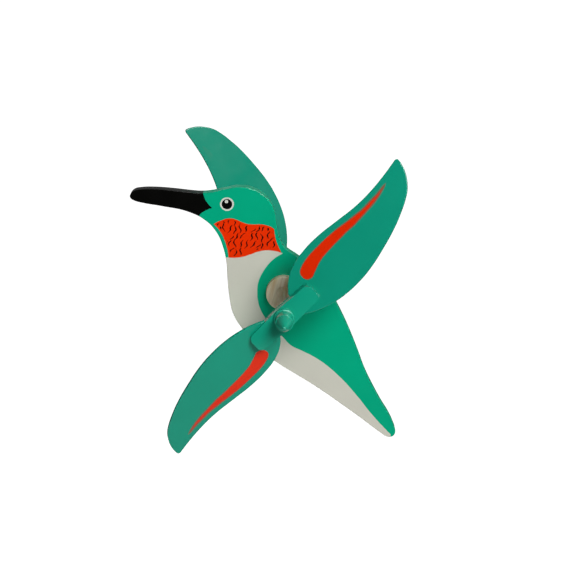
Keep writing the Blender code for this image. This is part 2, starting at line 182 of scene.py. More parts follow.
def add_node(finish, kind, inputs, **settings):
    """Add one shader node. Each input, by order or name, is a value or the node or socket that feeds it."""
    tree = finish.node_tree
    node = tree.nodes.new("ShaderNode" + kind)
    for name, value in settings.items():
        setattr(node, name, value)
    sockets = [socket for socket in node.inputs if socket.enabled]
    for key, value in inputs.items() if isinstance(inputs, dict) else enumerate(inputs):
        socket = sockets[key] if isinstance(key, int) else next(s for s in sockets if s.name == key)
        if isinstance(value, bpy.types.Node):
            value = next(output for output in value.outputs if output.enabled)
        if isinstance(value, bpy.types.NodeSocket):
            tree.links.new(value, socket)
        else:
            socket.default_value = value
    return node


def paint_line(finish, along, points):
    """Where a brushed edge runs through (along, across) points: its place across, in mm, for a place along.

    A point with a third value of True is a sharp turn.
    """
    first, last = points[0][0], points[-1][0]
    lowest, highest = min(point[1] for point in points), max(point[1] for point in points)
    share = add_node(finish, "MapRange", [along, first, last, 0.0, 1.0])
    line = add_node(finish, "FloatCurve", {"Value": share})
    drawn = line.mapping.curves[0].points
    for number, point in enumerate(points):
        spot = ((point[0] - first) / (last - first), (point[1] - lowest) / (highest - lowest))
        if number in (0, len(points) - 1):
            knot = drawn[0 if number == 0 else -1]
            knot.location = spot
        else:
            knot = drawn.new(*spot)
        knot.handle_type = "VECTOR" if len(point) == 3 else "AUTO"
    line.mapping.update()
    return add_node(finish, "MapRange", [line, 0.0, 1.0, lowest, highest])


def gloss_enamel(finish, place, colour, roughness, ridges=None):
    """Gloss enamel laid on by brush: the tone drifts a little, and the film keeps a faint orange peel,
    drawn out along the strokes, with a low ridge where one coat ends on another. Place is in mm.

    The tone drifts over 45 mm and the gloss over 14 mm. The peel is 2.4 mm, and a stroke 30 by 1.5 mm.
    """
    drift = add_node(finish, "TexNoise", {"Vector": place, "Scale": 1 / 45, "Detail": 3.0})
    tone = add_node(finish, "MapRange", [drift, 0.3, 0.7, 0.97, 1.03])
    toned = add_node(finish, "HueSaturation", {"Value": tone, "Color": colour})
    patchy = add_node(finish, "TexNoise", {"Vector": place, "Scale": 1 / 14, "Detail": 4.0})
    patches = add_node(finish, "MapRange", [patchy, 0.3, 0.7, -0.03, 0.03])
    sheen = add_node(finish, "Math", [patches, roughness], operation="ADD")
    peel = add_node(finish, "TexNoise", {"Vector": place, "Scale": 1 / 2.4, "Detail": 2.0})
    strokes = add_node(finish, "Mapping", {"Vector": place, "Scale": (1 / 30, 1 / 1.5, 1 / 1.5)})
    brushed = add_node(finish, "TexNoise", {"Vector": strokes, "Scale": 1.0, "Detail": 2.0})
    film = add_node(finish, "Math", [peel, brushed], operation="ADD")
    normal = add_node(finish, "Bump", {"Height": film, "Distance": 0.006 * MM, "Strength": 1.0})
    if ridges:
        normal = add_node(finish, "Bump", {"Height": ridges, "Distance": 0.015 * MM, "Normal": normal})
    surface = add_node(finish, "BsdfPrincipled", {
        "Base Color": toned, "Roughness": sheen, "IOR": 1.5, "Normal": normal})
    add_node(finish, "OutputMaterial", {"Surface": surface})


# Gloss enamel in five colours on primed board. The edges between colours are drawn freehand, so they
# waver by a fraction of a millimetre.
GREEN, WHITE, RED, BLACK, GLINT = "01AD83", "D4D3C6", "F43200", "050504", "DCDED4"
FACE_ROUGHNESS, EDGE_ROUGHNESS = 0.16, 0.42
BRUSH_WAVER, EDGE_SOFTNESS = 0.5, 0.25
BEAK_EDGE = [
    (78.5, -82.2), (81.2, -79.2), (83.7, -75.1), (85.7, -69.8, True), (91.5, -74.9), (96.5, -77.3),
    (102, -78.3),
]
THROAT_TOP = [
    (-68.4, 69.3), (-60.3, 73.3), (-53.4, 75.1), (-47, 74.1), (-40.7, 71.3), (-32.9, 69), (-22.1, 69),
    (-16.2, 67.8), (-9.3, 64.1),
]
THROAT_FOOT = [
    (-54.3, 35.3), (-48, 35.1), (-41, 36), (-34.1, 38), (-22.2, 42), (-17.3, 42.7), (-12.4, 42.4), (-2, 40),
]
THROAT_FRONT = [
    (35.3, -54.3), (44.7, -55.5), (49.3, -56.7), (54.9, -58.6), (60, -60.9), (64.9, -64.3), (69.4, -68.4),
]
THROAT_BACK = [(40, -2), (48.7, -5.9), (54.8, -7.9), (60.4, -8.9), (64.1, -9.3)]
BELLY_EDGE = [
    (-154.2, 110.2), (-132, 90.6), (-107.3, 71.8), (-88.4, 54.8), (-72.9, 36.8), (-62.8, 19.6),
    (-56.3, 7.1), (-47.8, -0.6), (-38, -10), (-26.1, -19.1), (-20.5, -22.2), (-10, -25.5), (2, -26.2),
    (12.3, -24.3), (24.1, -18.1), (33.5, -9.7), (39.3, -1),
]
EYE_PLACE, EYE_RADIUS, PUPIL_RADIUS = (-55.1, 89.4, 0.0), 6.7, 5.15
GLINT_PLACE, GLINT_RADIUS = (-55.6, 92.0, 0.0), 1.7
TICK_PITCH, TICK_HALF_LENGTH, TICK_HALF_WIDTH, TICK_MARGIN = (5.4, 7.8), 5.0, 0.7, 2.0
TICK_WAVE, TICK_WAVE_LENGTH, TICKS_LEFT_OUT = 0.8, 7.5, 0.1
LEAST_LEAN, LEAN_SPREAD = -0.35, 1.5

paint = new_finish("gloss_enamel_on_board")
here = add_node(paint, "TexCoord", {})
place = add_node(paint, "Mapping", {
    "Vector": here.outputs["Object"], "Location": -AXLE_PLACE / MM, "Scale": [1 / MM] * 3})
waver = add_node(paint, "TexNoise", {"Vector": place, "Scale": 1 / 9, "Detail": 1.0})
shift = add_node(paint, "VectorMath", [
    waver.outputs["Color"], [BRUSH_WAVER] * 3, [-BRUSH_WAVER / 2] * 3], operation="MULTIPLY_ADD")
drawn_place = add_node(paint, "VectorMath", [place, shift], operation="ADD")
parts = add_node(paint, "SeparateXYZ", [drawn_place])
x, z = parts.outputs["X"], parts.outputs["Z"]
flat = add_node(paint, "CombineXYZ", [x, z])

beak = add_node(paint, "Math", [paint_line(paint, z, BEAK_EDGE), x], operation="SUBTRACT")
foot = paint_line(paint, x, THROAT_FOOT)
below_foot = add_node(paint, "Math", [foot, z], operation="SUBTRACT")
before_edge = add_node(paint, "Math", [paint_line(paint, z, BELLY_EDGE), x], operation="SUBTRACT")
belly = add_node(paint, "Math", [below_foot, before_edge], operation="MINIMUM")
throat = add_node(paint, "Math", [z, foot], operation="SUBTRACT")
for nearer, further in (
        (z, paint_line(paint, x, THROAT_TOP)), (x, paint_line(paint, z, THROAT_BACK)),
        (paint_line(paint, z, THROAT_FRONT), x)):
    within = add_node(paint, "Math", [further, nearer], operation="SUBTRACT")
    throat = add_node(paint, "Math", [throat, within], operation="MINIMUM")

# Short wavy feather ticks, one in most cells of a loose grid, each with its own lean and phase.
grid = add_node(paint, "VectorMath", [
    flat, (1 / TICK_PITCH[0], 1 / TICK_PITCH[1], 0.0)], operation="MULTIPLY")
cell = add_node(paint, "TexVoronoi", {
    "Vector": grid, "Scale": 1.0, "Randomness": 0.6}, voronoi_dimensions="2D")
from_middle = add_node(paint, "VectorMath", [grid, cell.outputs["Position"]], operation="SUBTRACT")
on_tick = add_node(paint, "VectorMath", [from_middle, (*TICK_PITCH, 0.0)], operation="MULTIPLY")
tick = add_node(paint, "SeparateXYZ", [on_tick])
chance = add_node(paint, "SeparateColor", [cell.outputs["Color"]])
lean = add_node(paint, "Math", [chance.outputs[0], LEAN_SPREAD, LEAST_LEAN], operation="MULTIPLY_ADD")
phase = add_node(paint, "Math", [chance.outputs[1], 2 * pi], operation="MULTIPLY")
swing = add_node(paint, "Math", [
    tick.outputs["Y"], 2 * pi / TICK_WAVE_LENGTH, phase], operation="MULTIPLY_ADD")
curl = add_node(paint, "Math", [swing], operation="SINE")
wave = add_node(paint, "Math", [curl, TICK_WAVE], operation="MULTIPLY")
middle = add_node(paint, "Math", [tick.outputs["Y"], lean, wave], operation="MULTIPLY_ADD")
off_middle = add_node(paint, "Math", [tick.outputs["X"], middle], operation="SUBTRACT")
off_side = add_node(paint, "Math", [off_middle], operation="ABSOLUTE")
squared = add_node(paint, "Math", [tick.outputs["Y"], tick.outputs["Y"]], operation="MULTIPLY")
half_width = add_node(paint, "Math", [
    squared, -TICK_HALF_WIDTH / TICK_HALF_LENGTH ** 2, TICK_HALF_WIDTH], operation="MULTIPLY_ADD")
on_stroke = add_node(paint, "Math", [half_width, off_side], operation="SUBTRACT")
# A cell below the share left out falls far outside every stroke, so it has no tick.
over_share = add_node(paint, "Math", [chance.outputs[2], TICKS_LEFT_OUT], operation="SUBTRACT")
kept = add_node(paint, "Math", [over_share, 100.0], operation="MULTIPLY")
inner_throat = add_node(paint, "Math", [throat, TICK_MARGIN], operation="SUBTRACT")
ticks = add_node(paint, "Math", [on_stroke, inner_throat], operation="MINIMUM")
ticks = add_node(paint, "Math", [ticks, kept], operation="MINIMUM")

from_eye = add_node(paint, "VectorMath", [flat, EYE_PLACE], operation="DISTANCE")
from_glint = add_node(paint, "VectorMath", [flat, GLINT_PLACE], operation="DISTANCE")
eye = add_node(paint, "Math", [EYE_RADIUS, from_eye], operation="SUBTRACT")
pupil = add_node(paint, "Math", [PUPIL_RADIUS, from_eye], operation="SUBTRACT")
glint = add_node(paint, "Math", [GLINT_RADIUS, from_glint], operation="SUBTRACT")

colour, ridges = linear(GREEN), None
for inside, code in (
        (belly, WHITE), (throat, RED), (ticks, BLACK), (beak, BLACK), (eye, GLINT), (pupil, BLACK),
        (glint, GLINT)):
    coat = add_node(paint, "MapRange", [
        inside, -EDGE_SOFTNESS, EDGE_SOFTNESS, 0.0, 1.0], interpolation_type="SMOOTHSTEP")
    colour = add_node(paint, "Mix", [coat, colour, linear(code)], data_type="RGBA")
    ridges = add_node(paint, "Math", [ridges, coat], operation="ADD") if ridges else coat
# The sawn edge drinks the paint, so it dries duller than the faces.
outward = add_node(paint, "SeparateXYZ", [here.outputs["Normal"]])
on_face = add_node(paint, "Math", [outward.outputs["Y"]], operation="ABSOLUTE")
dullness = add_node(paint, "MapRange", [on_face, 0.2, 0.9, EDGE_ROUGHNESS, FACE_ROUGHNESS])
gloss_enamel(paint, place, colour, dullness, ridges)
bird.data.materials.clear()
bird.data.materials.append(paint)
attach(bird, "bird")
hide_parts("body_board")


# Pivot and axle: a thin drawn brass sleeve pressed up into the belly turns on the post, and a steel plug at
# its blind end takes the bird's weight. The axle, its outer washers and its nuts are zinc plated steel.

brass = new_finish("drawn_brass_tube")
here = add_node(brass, "TexCoord", {})
# Drawing leaves fine lines along the tube, about 0.2 mm apart and 17 mm long.
lines = add_node(brass, "Mapping", {
    "Vector": here.outputs["Object"], "Scale": (1 / (0.2 * MM), 1 / (0.2 * MM), 60.0)})
drawn_lines = add_node(brass, "TexNoise", {"Vector": lines, "Scale": 1.0, "Detail": 3.0})
sheen = add_node(brass, "MapRange", [drawn_lines, 0.3, 0.7, 0.24, 0.42])
dull = add_node(brass, "MapRange", [drawn_lines, 0.3, 0.7, 0.85, 1.0])
toned = add_node(brass, "HueSaturation", {"Value": dull, "Color": linear("D8B56A")})
normal = add_node(brass, "Bump", {"Height": drawn_lines, "Distance": 0.01 * MM})
surface = add_node(brass, "BsdfPrincipled", {
    "Base Color": toned, "Roughness": sheen, "Metallic": 1.0, "Normal": normal})
add_node(brass, "OutputMaterial", {"Surface": surface})
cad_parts["pivot_sleeve"].data.materials.clear()
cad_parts["pivot_sleeve"].data.materials.append(brass)

zinc = new_finish("zinc_plated_steel")
here = add_node(zinc, "TexCoord", {})
# Barrel plating leaves a fine crystal mottle, drawn at 0.8 mm so that it shows.
mottle = add_node(zinc, "TexNoise", {
    "Vector": here.outputs["Object"], "Scale": 1 / (0.8 * MM), "Detail": 4.0})
sheen = add_node(zinc, "MapRange", [mottle, 0.3, 0.7, 0.26, 0.44])
bloom = add_node(zinc, "MapRange", [mottle, 0.3, 0.7, 0.86, 1.02])
toned = add_node(zinc, "HueSaturation", {"Value": bloom, "Color": linear("BFC3C6")})
normal = add_node(zinc, "Bump", {"Height": mottle, "Distance": 0.01 * MM})
surface = add_node(zinc, "BsdfPrincipled", {
    "Base Color": toned, "Roughness": sheen, "Metallic": 1.0, "Normal": normal})
add_node(zinc, "OutputMaterial", {"Surface": surface})
for node in (
        "pivot_plug", "axle_rod", "outer_washer_near", "outer_washer_far", "axle_nut_near", "axle_nut_far"):
    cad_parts[node].data.materials.clear()
    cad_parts[node].data.materials.append(zinc)


# Spacers: one on each side of the bird, turned from a hardwood board with its grain across, with a foot
# disc, a small cove and a long stem, left bare. The axle runs through it and its foot is glued to the bird.

SPACER_FOOT, SPACER_END = 6.38, 79.0
FOOT_RADIUS, FOOT_TOP, FOOT_ROUND = 17.4, 14.0, 0.8
STEM_RADIUS, STEM_ROUND, COVE_RADIUS = 7.0, 0.5, 1.2
SIDES = {"near": 1, "far": -1}


def turn_on_lathe(name, profile):
    """A piece turned about Z: a line through (radius, height) points in mm, spun right round."""
    bpy.ops.object.select_all(action="DESELECT")
    bpy.ops.mesh.primitive_plane_add(size=MM)
    piece = bpy.context.object
    piece.name = name
    bpy.ops.object.mode_set(mode="EDIT")
    bpy.ops.mesh.select_mode(type="VERT")
    bpy.ops.mesh.select_all(action="SELECT")
    bpy.ops.mesh.merge(type="CENTER")
    stops = [Vector((radius, 0.0, height)) * MM for radius, height in profile]
    bpy.ops.transform.translate(value=stops[0])
    for stop, next_stop in zip(stops, stops[1:]):
        bpy.ops.mesh.extrude_vertices_move(TRANSFORM_OT_translate={"value": next_stop - stop})
    bpy.ops.mesh.select_all(action="SELECT")
    bpy.ops.mesh.spin(steps=96, angle=2 * pi, center=(0.0, 0.0, 0.0), axis=(0.0, 0.0, 1.0))
    bpy.ops.mesh.select_all(action="SELECT")
    bpy.ops.mesh.remove_doubles(threshold=0.005 * MM)
    bpy.ops.mesh.normals_make_consistent(inside=False)
    bpy.ops.object.mode_set(mode="OBJECT")
    return piece


def round_over(centre, radius, start, end, steps=6):
    """Points along an arc of a profile, from one angle in degrees to another."""
    angles = [radians(start + (end - start) * step / steps) for step in range(steps + 1)]
    return [(centre[0] + radius * cos(angle), centre[1] + radius * sin(angle)) for angle in angles]


def copy_to(pattern, name, place):
    """A copy of a finished piece with its own mesh, put at a place, which may mirror it."""
    bpy.ops.object.select_all(action="DESELECT")
    pattern.select_set(True)
    bpy.context.view_layer.objects.active = pattern
    bpy.ops.object.duplicate()
    copy = bpy.context.object
    copy.name = name
    set_in_place(copy, place)
    if place.determinant() < 0:
        bpy.ops.object.mode_set(mode="EDIT")
        bpy.ops.mesh.select_all(action="SELECT")
        bpy.ops.mesh.normals_make_consistent(inside=False)
        bpy.ops.object.mode_set(mode="OBJECT")
    return copy


facing = {
    side: Matrix.Translation(AXLE_PLACE) @ Matrix.Rotation(hand * pi / 2, 4, "X")
    for side, hand in SIDES.items()}
profile = round_over((STEM_RADIUS - STEM_ROUND, SPACER_END - STEM_ROUND), STEM_ROUND, 90, 0)
profile += round_over((STEM_RADIUS + COVE_RADIUS, FOOT_TOP + COVE_RADIUS), COVE_RADIUS, 180, 270, 12)
profile += round_over((FOOT_RADIUS - FOOT_ROUND, FOOT_TOP - FOOT_ROUND), FOOT_ROUND, 90, 0)
profile += [(FOOT_RADIUS, SPACER_FOOT), (AXLE_HOLE_RADIUS, SPACER_FOOT), (AXLE_HOLE_RADIUS, SPACER_END)]
spacer = turn_on_lathe("spacer", profile + profile[:1])
smooth(spacer)

# Bare turned hardwood, lightly oiled: pale sapwood with brown streaks about 5 mm apart, which lean from
# upper right to lower left on the near disc and run along the stem, pores 0.7 mm wide and 16 mm long, and
# chisel rings 0.9 mm apart.
GRAIN_LEAN, RING_PITCH = radians(14.0), 0.9
wood = new_finish("bare_turned_hardwood")
here = add_node(wood, "TexCoord", {})
place = add_node(wood, "Mapping", {
    "Vector": here.outputs["Object"], "Location": -AXLE_PLACE / MM, "Scale": [1 / MM] * 3})
on_grain = add_node(wood, "VectorRotate", {"Vector": place, "Angle": -GRAIN_LEAN}, rotation_type="Y_AXIS")
growth = add_node(wood, "Mapping", {"Vector": on_grain, "Scale": (1 / 5, 1 / 45, 1 / 70)})
bands = add_node(wood, "TexNoise", {"Vector": growth, "Scale": 1.0, "Detail": 4.0, "Roughness": 0.6})
fibre = add_node(wood, "Mapping", {"Vector": on_grain, "Scale": (1 / 0.7, 1 / 0.9, 1 / 16)})
pores = add_node(wood, "TexNoise", {"Vector": fibre, "Scale": 1.0, "Detail": 2.0})
streaks = add_node(wood, "MapRange", [bands, 0.34, 0.66, 0.0, 1.0])
colour = add_node(wood, "Mix", [streaks, linear("F2E8D0"), linear("CDAE7E")], data_type="RGBA")
pored = add_node(wood, "MapRange", [pores, 0.3, 0.7, 0.86, 1.06])
toned = add_node(wood, "HueSaturation", {"Value": pored, "Color": colour})
across = add_node(wood, "VectorMath", [place, (1.0, 0.0, 1.0)], operation="MULTIPLY")
radius = add_node(wood, "VectorMath", [across], operation="LENGTH")
along = add_node(wood, "SeparateXYZ", [place])
reach = add_node(wood, "Math", [radius, along.outputs["Y"]], operation="ADD")
ring = add_node(wood, "Math", [reach, 2 * pi / RING_PITCH], operation="MULTIPLY")
rings = add_node(wood, "Math", [ring], operation="SINE")
sheen = add_node(wood, "MapRange", [pores, 0.3, 0.7, 0.42, 0.56])
normal = add_node(wood, "Bump", {"Height": pores, "Distance": 0.02 * MM})
normal = add_node(wood, "Bump", {"Height": rings, "Distance": 0.008 * MM, "Normal": normal})
surface = add_node(wood, "BsdfPrincipled", {
    "Base Color": toned, "Roughness": sheen, "IOR": 1.45, "Normal": normal})
add_node(wood, "OutputMaterial", {"Surface": surface})
spacer.data.materials.append(wood)
for side in SIDES:
    copy = copy_to(spacer, "turned_spacer_" + side, facing[side])
    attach(copy, "bird")
    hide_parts("spacer_" + side)
bpy.data.objects.remove(spacer)


# Inner washers: one loose on the axle between each spacer and the propeller that spins against it,
# stamped from zinc plated steel, with the rolled-over edge that the stamp leaves.

WASHER_BACK, WASHER_FRONT, WASHER_RADIUS, WASHER_ROUND = 79.3, 80.3, 7.0, 0.25
profile = round_over((WASHER_RADIUS - WASHER_ROUND, WASHER_FRONT - WASHER_ROUND), WASHER_ROUND, 90, 0)
profile += [(WASHER_RADIUS, WASHER_BACK), (AXLE_HOLE_RADIUS, WASHER_BACK)]
profile += round_over((AXLE_HOLE_RADIUS + WASHER_ROUND, WASHER_FRONT - WASHER_ROUND), WASHER_ROUND, 180, 90)
washer = turn_on_lathe("washer", profile + profile[:1])
smooth(washer)
washer.data.materials.append(zinc)
for side in SIDES:
    copy = copy_to(washer, "thrust_washer_" + side, facing[side])
    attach(copy, "bird")
    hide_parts("inner_washer_" + side)
bpy.data.objects.remove(washer)


# Bushes: a moulded nylon sleeve pressed through each hub, with a thrust flange at the back, so that the
# propeller runs freely on the steel axle.

FLANGE_BACK, FLANGE_FRONT, FLANGE_RADIUS, FLANGE_ROUND = 80.6, 81.8, 7.0, 0.3
BUSH_RADIUS, BUSH_FRONT = 4.875, 92.585
REST_ANGLE = {"near": radians(42.0), "far": radians(111.0)}

profile = [(AXLE_HOLE_RADIUS, BUSH_FRONT), (BUSH_RADIUS, BUSH_FRONT), (BUSH_RADIUS, FLANGE_FRONT)]
profile += round_over((FLANGE_RADIUS - FLANGE_ROUND, FLANGE_FRONT - FLANGE_ROUND), FLANGE_ROUND, 90, 0)
profile += round_over((FLANGE_RADIUS - FLANGE_ROUND, FLANGE_BACK + FLANGE_ROUND), FLANGE_ROUND, 0, -90)
profile += [(AXLE_HOLE_RADIUS, FLANGE_BACK), (AXLE_HOLE_RADIUS, BUSH_FRONT)]
bush = turn_on_lathe("bush", profile)
smooth(bush)

nylon = new_finish("moulded_nylon")
here = add_node(nylon, "TexCoord", {})
# The mould is spark finished, with a grain of about 0.3 mm.
grain = add_node(nylon, "TexNoise", {
    "Vector": here.outputs["Object"], "Scale": 1 / (0.3 * MM), "Detail": 2.0})
sheen = add_node(nylon, "MapRange", [grain, 0.3, 0.7, 0.42, 0.58])
cloud = add_node(nylon, "TexNoise", {"Vector": here.outputs["Object"], "Scale": 1 / (5 * MM)})
milky = add_node(nylon, "MapRange", [cloud, 0.3, 0.7, 0.94, 1.02])
toned = add_node(nylon, "HueSaturation", {"Value": milky, "Color": linear("E6E2D6")})
normal = add_node(nylon, "Bump", {"Height": grain, "Distance": 0.01 * MM})
surface = add_node(nylon, "BsdfPrincipled", {
    "Base Color": toned, "Roughness": sheen, "IOR": 1.53, "Normal": normal})
add_node(nylon, "OutputMaterial", {"Surface": surface})
bush.data.materials.append(nylon)
spinning = {
    side: facing[side] @ Matrix.Rotation(hand * REST_ANGLE[side], 4, "Z")
    for side, hand in SIDES.items()}
for side in SIDES:
    copy = copy_to(bush, "flanged_bush_" + side, spinning[side])
    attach(copy, side + "_propeller")
    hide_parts("hub_bush_" + side)
bpy.data.objects.remove(bush)


# Hubs: a short hardwood bar across the end of the axle. Each arm narrows along one side, has its corners
# sawn round, and is planed at the back to the wings' pitch. The far hub is the near one's mirror image.

HUB_LENGTH, HUB_WIDTH, HUB_BACK, HUB_FRONT = 77.0, 21.0, 82.1, 92.585
ARM_TAPER, ARM_CORNER, HUB_ROUND = 3.0, 6.0, 1.3
WING_PITCH, WING_SEAT, WING_ROOT = radians(22.0), 86.343, 16.0
SEAT_CLEARANCE, BUSH_CLEARANCE = 0.04, 0.02
SCREW_STATIONS, SCREW_CHORD, SCREW_RADIUS, SCREW_BITE = (22.0, 32.5), 1.5, 1.5, 4.55

bpy.ops.object.select_all(action="DESELECT")
bpy.ops.mesh.primitive_cube_add(size=MM, location=(0.0, 0.0, (HUB_BACK + HUB_FRONT) / 2 * MM))
hub = bpy.context.object
hub.scale = (HUB_LENGTH, HUB_WIDTH, HUB_FRONT - HUB_BACK)
bpy.ops.object.transform_apply(location=True, rotation=True, scale=True)
bpy.ops.object.mode_set(mode="EDIT")
bpy.ops.mesh.select_all(action="SELECT")
bpy.ops.mesh.bisect(plane_co=(0.0, 0.0, 0.0), plane_no=(1.0, 0.0, 0.0))
for end in (1, -1):
    bpy.ops.mesh.select_mode(type="VERT")
    bpy.ops.mesh.select_all(action="DESELECT")
    bpy.ops.object.mode_set(mode="OBJECT")
    for corner in hub.data.vertices:
        corner.select = corner.co.x * end > HUB_LENGTH / 4 * MM and corner.co.y * end < 0
    bpy.ops.object.mode_set(mode="EDIT")
    bpy.ops.transform.translate(value=(0.0, end * ARM_TAPER * MM, 0.0))
bpy.ops.mesh.select_mode(type="EDGE")
bpy.ops.mesh.select_all(action="DESELECT")
bpy.ops.object.mode_set(mode="OBJECT")
for edge in hub.data.edges:
    ends = [hub.data.vertices[number].co for number in edge.vertices]
    upright = abs(ends[0].z - ends[1].z) > HUB_WIDTH / 4 * MM
    edge.select = upright and abs(ends[0].x) > HUB_LENGTH / 4 * MM
bpy.ops.object.mode_set(mode="EDIT")
bpy.ops.mesh.bevel(offset=ARM_CORNER * MM, segments=10, affect="EDGES")
bpy.ops.object.mode_set(mode="OBJECT")

wing_seats = [
    Matrix.Translation((0.0, 0.0, WING_SEAT * MM)) @ Matrix.Rotation(pi * number, 4, "Z")
    @ Matrix.Rotation(-WING_PITCH, 4, "X")
    for number in (0, 1)]
for seat in wing_seats:
    seat_middle = (
        (WING_ROOT - SEAT_CLEARANCE + HUB_LENGTH / 4) * MM, 0.0, (SEAT_CLEARANCE - HUB_WIDTH / 2) * MM)
    bpy.ops.object.select_all(action="DESELECT")
    bpy.ops.mesh.primitive_cube_add(size=MM)
    bpy.context.object.matrix_world = (
        seat @ Matrix.Translation(seat_middle)
        @ Matrix.Diagonal((HUB_LENGTH / 2, HUB_WIDTH * 2, HUB_WIDTH, 1.0)))
    cut_away(hub, bpy.context.object)
rounding = hub.modifiers.new("round", "BEVEL")
rounding.width = HUB_ROUND * MM
rounding.segments = 4
rounding.limit_method = "ANGLE"
rounding.angle_limit = radians(35)
bpy.ops.object.modifier_apply(modifier=rounding.name)
drill(hub, Matrix.Translation((0.0, 0.0, HUB_BACK * MM)), BUSH_RADIUS + BUSH_CLEARANCE, HUB_WIDTH * 2)
for seat in wing_seats:
    for station in SCREW_STATIONS:
        hole = seat @ Matrix.Translation((station * MM, SCREW_CHORD * MM, 0.0))
        drill(hub, hole, SCREW_RADIUS, SCREW_BITE * 2)
smooth(hub)

# Gloss green enamel brushed over the whole hub once the wings are on.
HUB_GREEN, HUB_ROUGHNESS = "0F9E80", 0.2
hub_paint = new_finish("gloss_green_enamel_on_hardwood")
here = add_node(hub_paint, "TexCoord", {})
place = add_node(hub_paint, "Mapping", {
    "Vector": here.outputs["Object"], "Location": -AXLE_PLACE / MM, "Scale": [1 / MM] * 3})
gloss_enamel(hub_paint, place, linear(HUB_GREEN), HUB_ROUGHNESS)
hub.data.materials.append(hub_paint)
MIRROR = {"near": Matrix(), "far": Matrix.Diagonal((1.0, -1.0, 1.0, 1.0))}
for side in SIDES:
    copy = copy_to(hub, "hub_bar_" + side, spinning[side] @ MIRROR[side])
    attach(copy, side + "_propeller")
    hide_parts("hub_" + side)
bpy.data.objects.remove(hub)


# Wings: leaf-shaped blades sawn from 3 mm sheet, two on each hub. The root is screwed to the planed back
# of the hub's arm. They are painted green all over, with a red-orange stripe on the outer face.

WING_THICK, WING_EDGE_ROUND = 3.0, 0.7
WING_OUTLINE = [
    (16, 13.5, True), (24, 23), (37, 31), (54, 35.5), (75, 37), (95, 36), (118, 34.9), (138, 36.3),
    (158, 39.8), (169.5, 42.5), (173.2, 43.2), (174.9, 42.4), (175.3, 40.8), (174.9, 36.3), (173, 29),
    (169.6, 22.2), (164.3, 15.1), (157, 9.2), (147, 3.1), (134, -3.5), (112, -12), (90, -18.5),
    (75, -20.9), (60, -21.6), (45, -20.3), (28, -15.9), (16, -10.5, True),
]
wing = saw_sheet("wing", WING_OUTLINE, WING_THICK, WING_EDGE_ROUND)
set_in_place(wing, Matrix.Translation((0.0, 0.0, -WING_THICK / 2 * MM)))
for station in SCREW_STATIONS:
    drill(wing, Matrix.Translation((station * MM, SCREW_CHORD * MM, 0.0)), SCREW_RADIUS, WING_THICK * 4)
smooth(wing)
# Each point keeps its place on the blade, in mm, so that the stripe follows the wing wherever it is fixed.
on_blade = wing.data.attributes.new("on_blade", "FLOAT_VECTOR", "POINT")
on_blade.data.foreach_set("vector", [part / MM for point in wing.data.vertices for part in point.co])

# Gloss green enamel with the stripe brushed over it, along the blade and tapering to its tip.
WING_GREEN, STRIPE_RED = "0E9E81", "F02D02"
# Painted shade: each blade's colour is darkened by its own share. This stands in for the different light
# each blade gets at rest, so the far blades come out darkest.
BLADE_SHADES = {"near_a": 0.9, "near_b": 0.98, "far_a": 0.83, "far_b": 0.86}
STRIPE_WAVER, MIXED_DEPTH = 0.6, 0.8
STRIPE_TRAILING = [
    (36, 21), (36.8, 18.6), (37.4, 15), (39.2, 12.3), (42, 11), (44, 10.8), (47, 11.9), (52.7, 14.7),
    (60, 17.6), (66, 18.9), (72, 19.8), (84, 21), (96, 21.9), (108, 22.4), (120, 23.8), (132, 25.6),
    (144, 29), (150, 31.5), (152, 32.8), (154, 35),
]
STRIPE_LEADING = [
    (36, 15.2), (36.8, 17.6), (37.2, 19.8), (38.4, 21.8), (40.8, 23.8), (46.6, 26.4), (52.2, 28), (60, 29),
    (66, 29.5), (78, 30.2), (90, 30), (102, 29.2), (114, 28.6), (120, 28.3), (132, 29.4), (144, 30.8),
    (150, 31.6), (152, 31.6), (154, 29.4),
]
wing_paint = new_finish("gloss_green_enamel_on_sheet")
place = add_node(wing_paint, "Attribute", {}, attribute_name="on_blade").outputs["Vector"]
waver = add_node(wing_paint, "TexNoise", {"Vector": place, "Scale": 1 / 12, "Detail": 1.0})
shift = add_node(wing_paint, "VectorMath", [
    waver.outputs["Color"], [STRIPE_WAVER] * 3, [-STRIPE_WAVER / 2] * 3], operation="MULTIPLY_ADD")
drawn_place = add_node(wing_paint, "VectorMath", [place, shift], operation="ADD")
parts = add_node(wing_paint, "SeparateXYZ", [drawn_place])
along, across = parts.outputs["X"], parts.outputs["Y"]
past_trailing = add_node(
    wing_paint, "Math", [across, paint_line(wing_paint, along, STRIPE_TRAILING)], operation="SUBTRACT")
past_leading = add_node(
    wing_paint, "Math", [paint_line(wing_paint, along, STRIPE_LEADING), across], operation="SUBTRACT")
between = add_node(wing_paint, "Math", [past_trailing, past_leading], operation="MINIMUM")
off_back = add_node(wing_paint, "Math", [parts.outputs["Z"], WING_THICK / 2], operation="ADD")
inside = add_node(wing_paint, "Math", [between, off_back], operation="MINIMUM")
# The brush runs dry towards the tip, so the stripe's edges grow softer along the blade.
softness = add_node(wing_paint, "MapRange", [along, 80.0, 150.0, 0.8, 1.8])
share = add_node(wing_paint, "Math", [inside, softness], operation="DIVIDE")
stripe = add_node(wing_paint, "MapRange", [share, -1.0, 1.0, 0.0, 1.0], interpolation_type="SMOOTHSTEP")
colour = add_node(wing_paint, "Mix", [stripe, linear(WING_GREEN), linear(STRIPE_RED)], data_type="RGBA")
# The coat attribute carries each blade's share of painted shade.
coat = add_node(wing_paint, "Attribute", {}, attribute_name="coat").outputs["Fac"]
